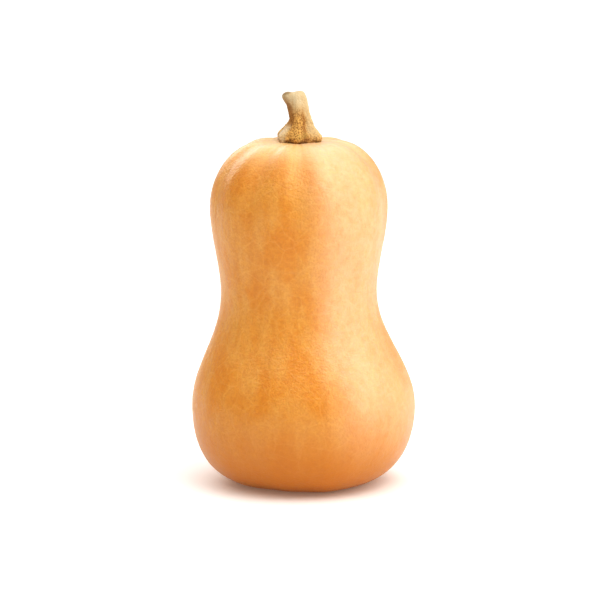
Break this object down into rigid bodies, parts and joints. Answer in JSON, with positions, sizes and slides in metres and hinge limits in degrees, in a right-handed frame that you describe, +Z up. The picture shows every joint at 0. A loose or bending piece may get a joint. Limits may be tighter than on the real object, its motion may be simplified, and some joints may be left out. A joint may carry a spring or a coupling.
{
  "type": "butternut squash",
  "caption": "Whole butternut squash standing upright: round bulb, slight waist, thick neck, shallow ribbed crown and a short dry ridged stem.",
  "frame": {"origin": "on the surface that the squash stands on, under the middle of the bulb", "axes": "+Z up from the blossom end to the stem; -Y is the front"},
  "size_m": [0.1267, 0.126, 0.2232],
  "materials": {
    "rind": "smooth satin plant rind, waxy, tan-orange with fine pale mottling and faint darker streaks from stem to base",
    "cork": "dry corky stem, matte, cream at the cut end, grainy brown lower down, dark brown at its base edge"
  },
  "bodies": {
    "root": {"fruit": "rind", "stem": "cork"}
  },
  "joints": []
}
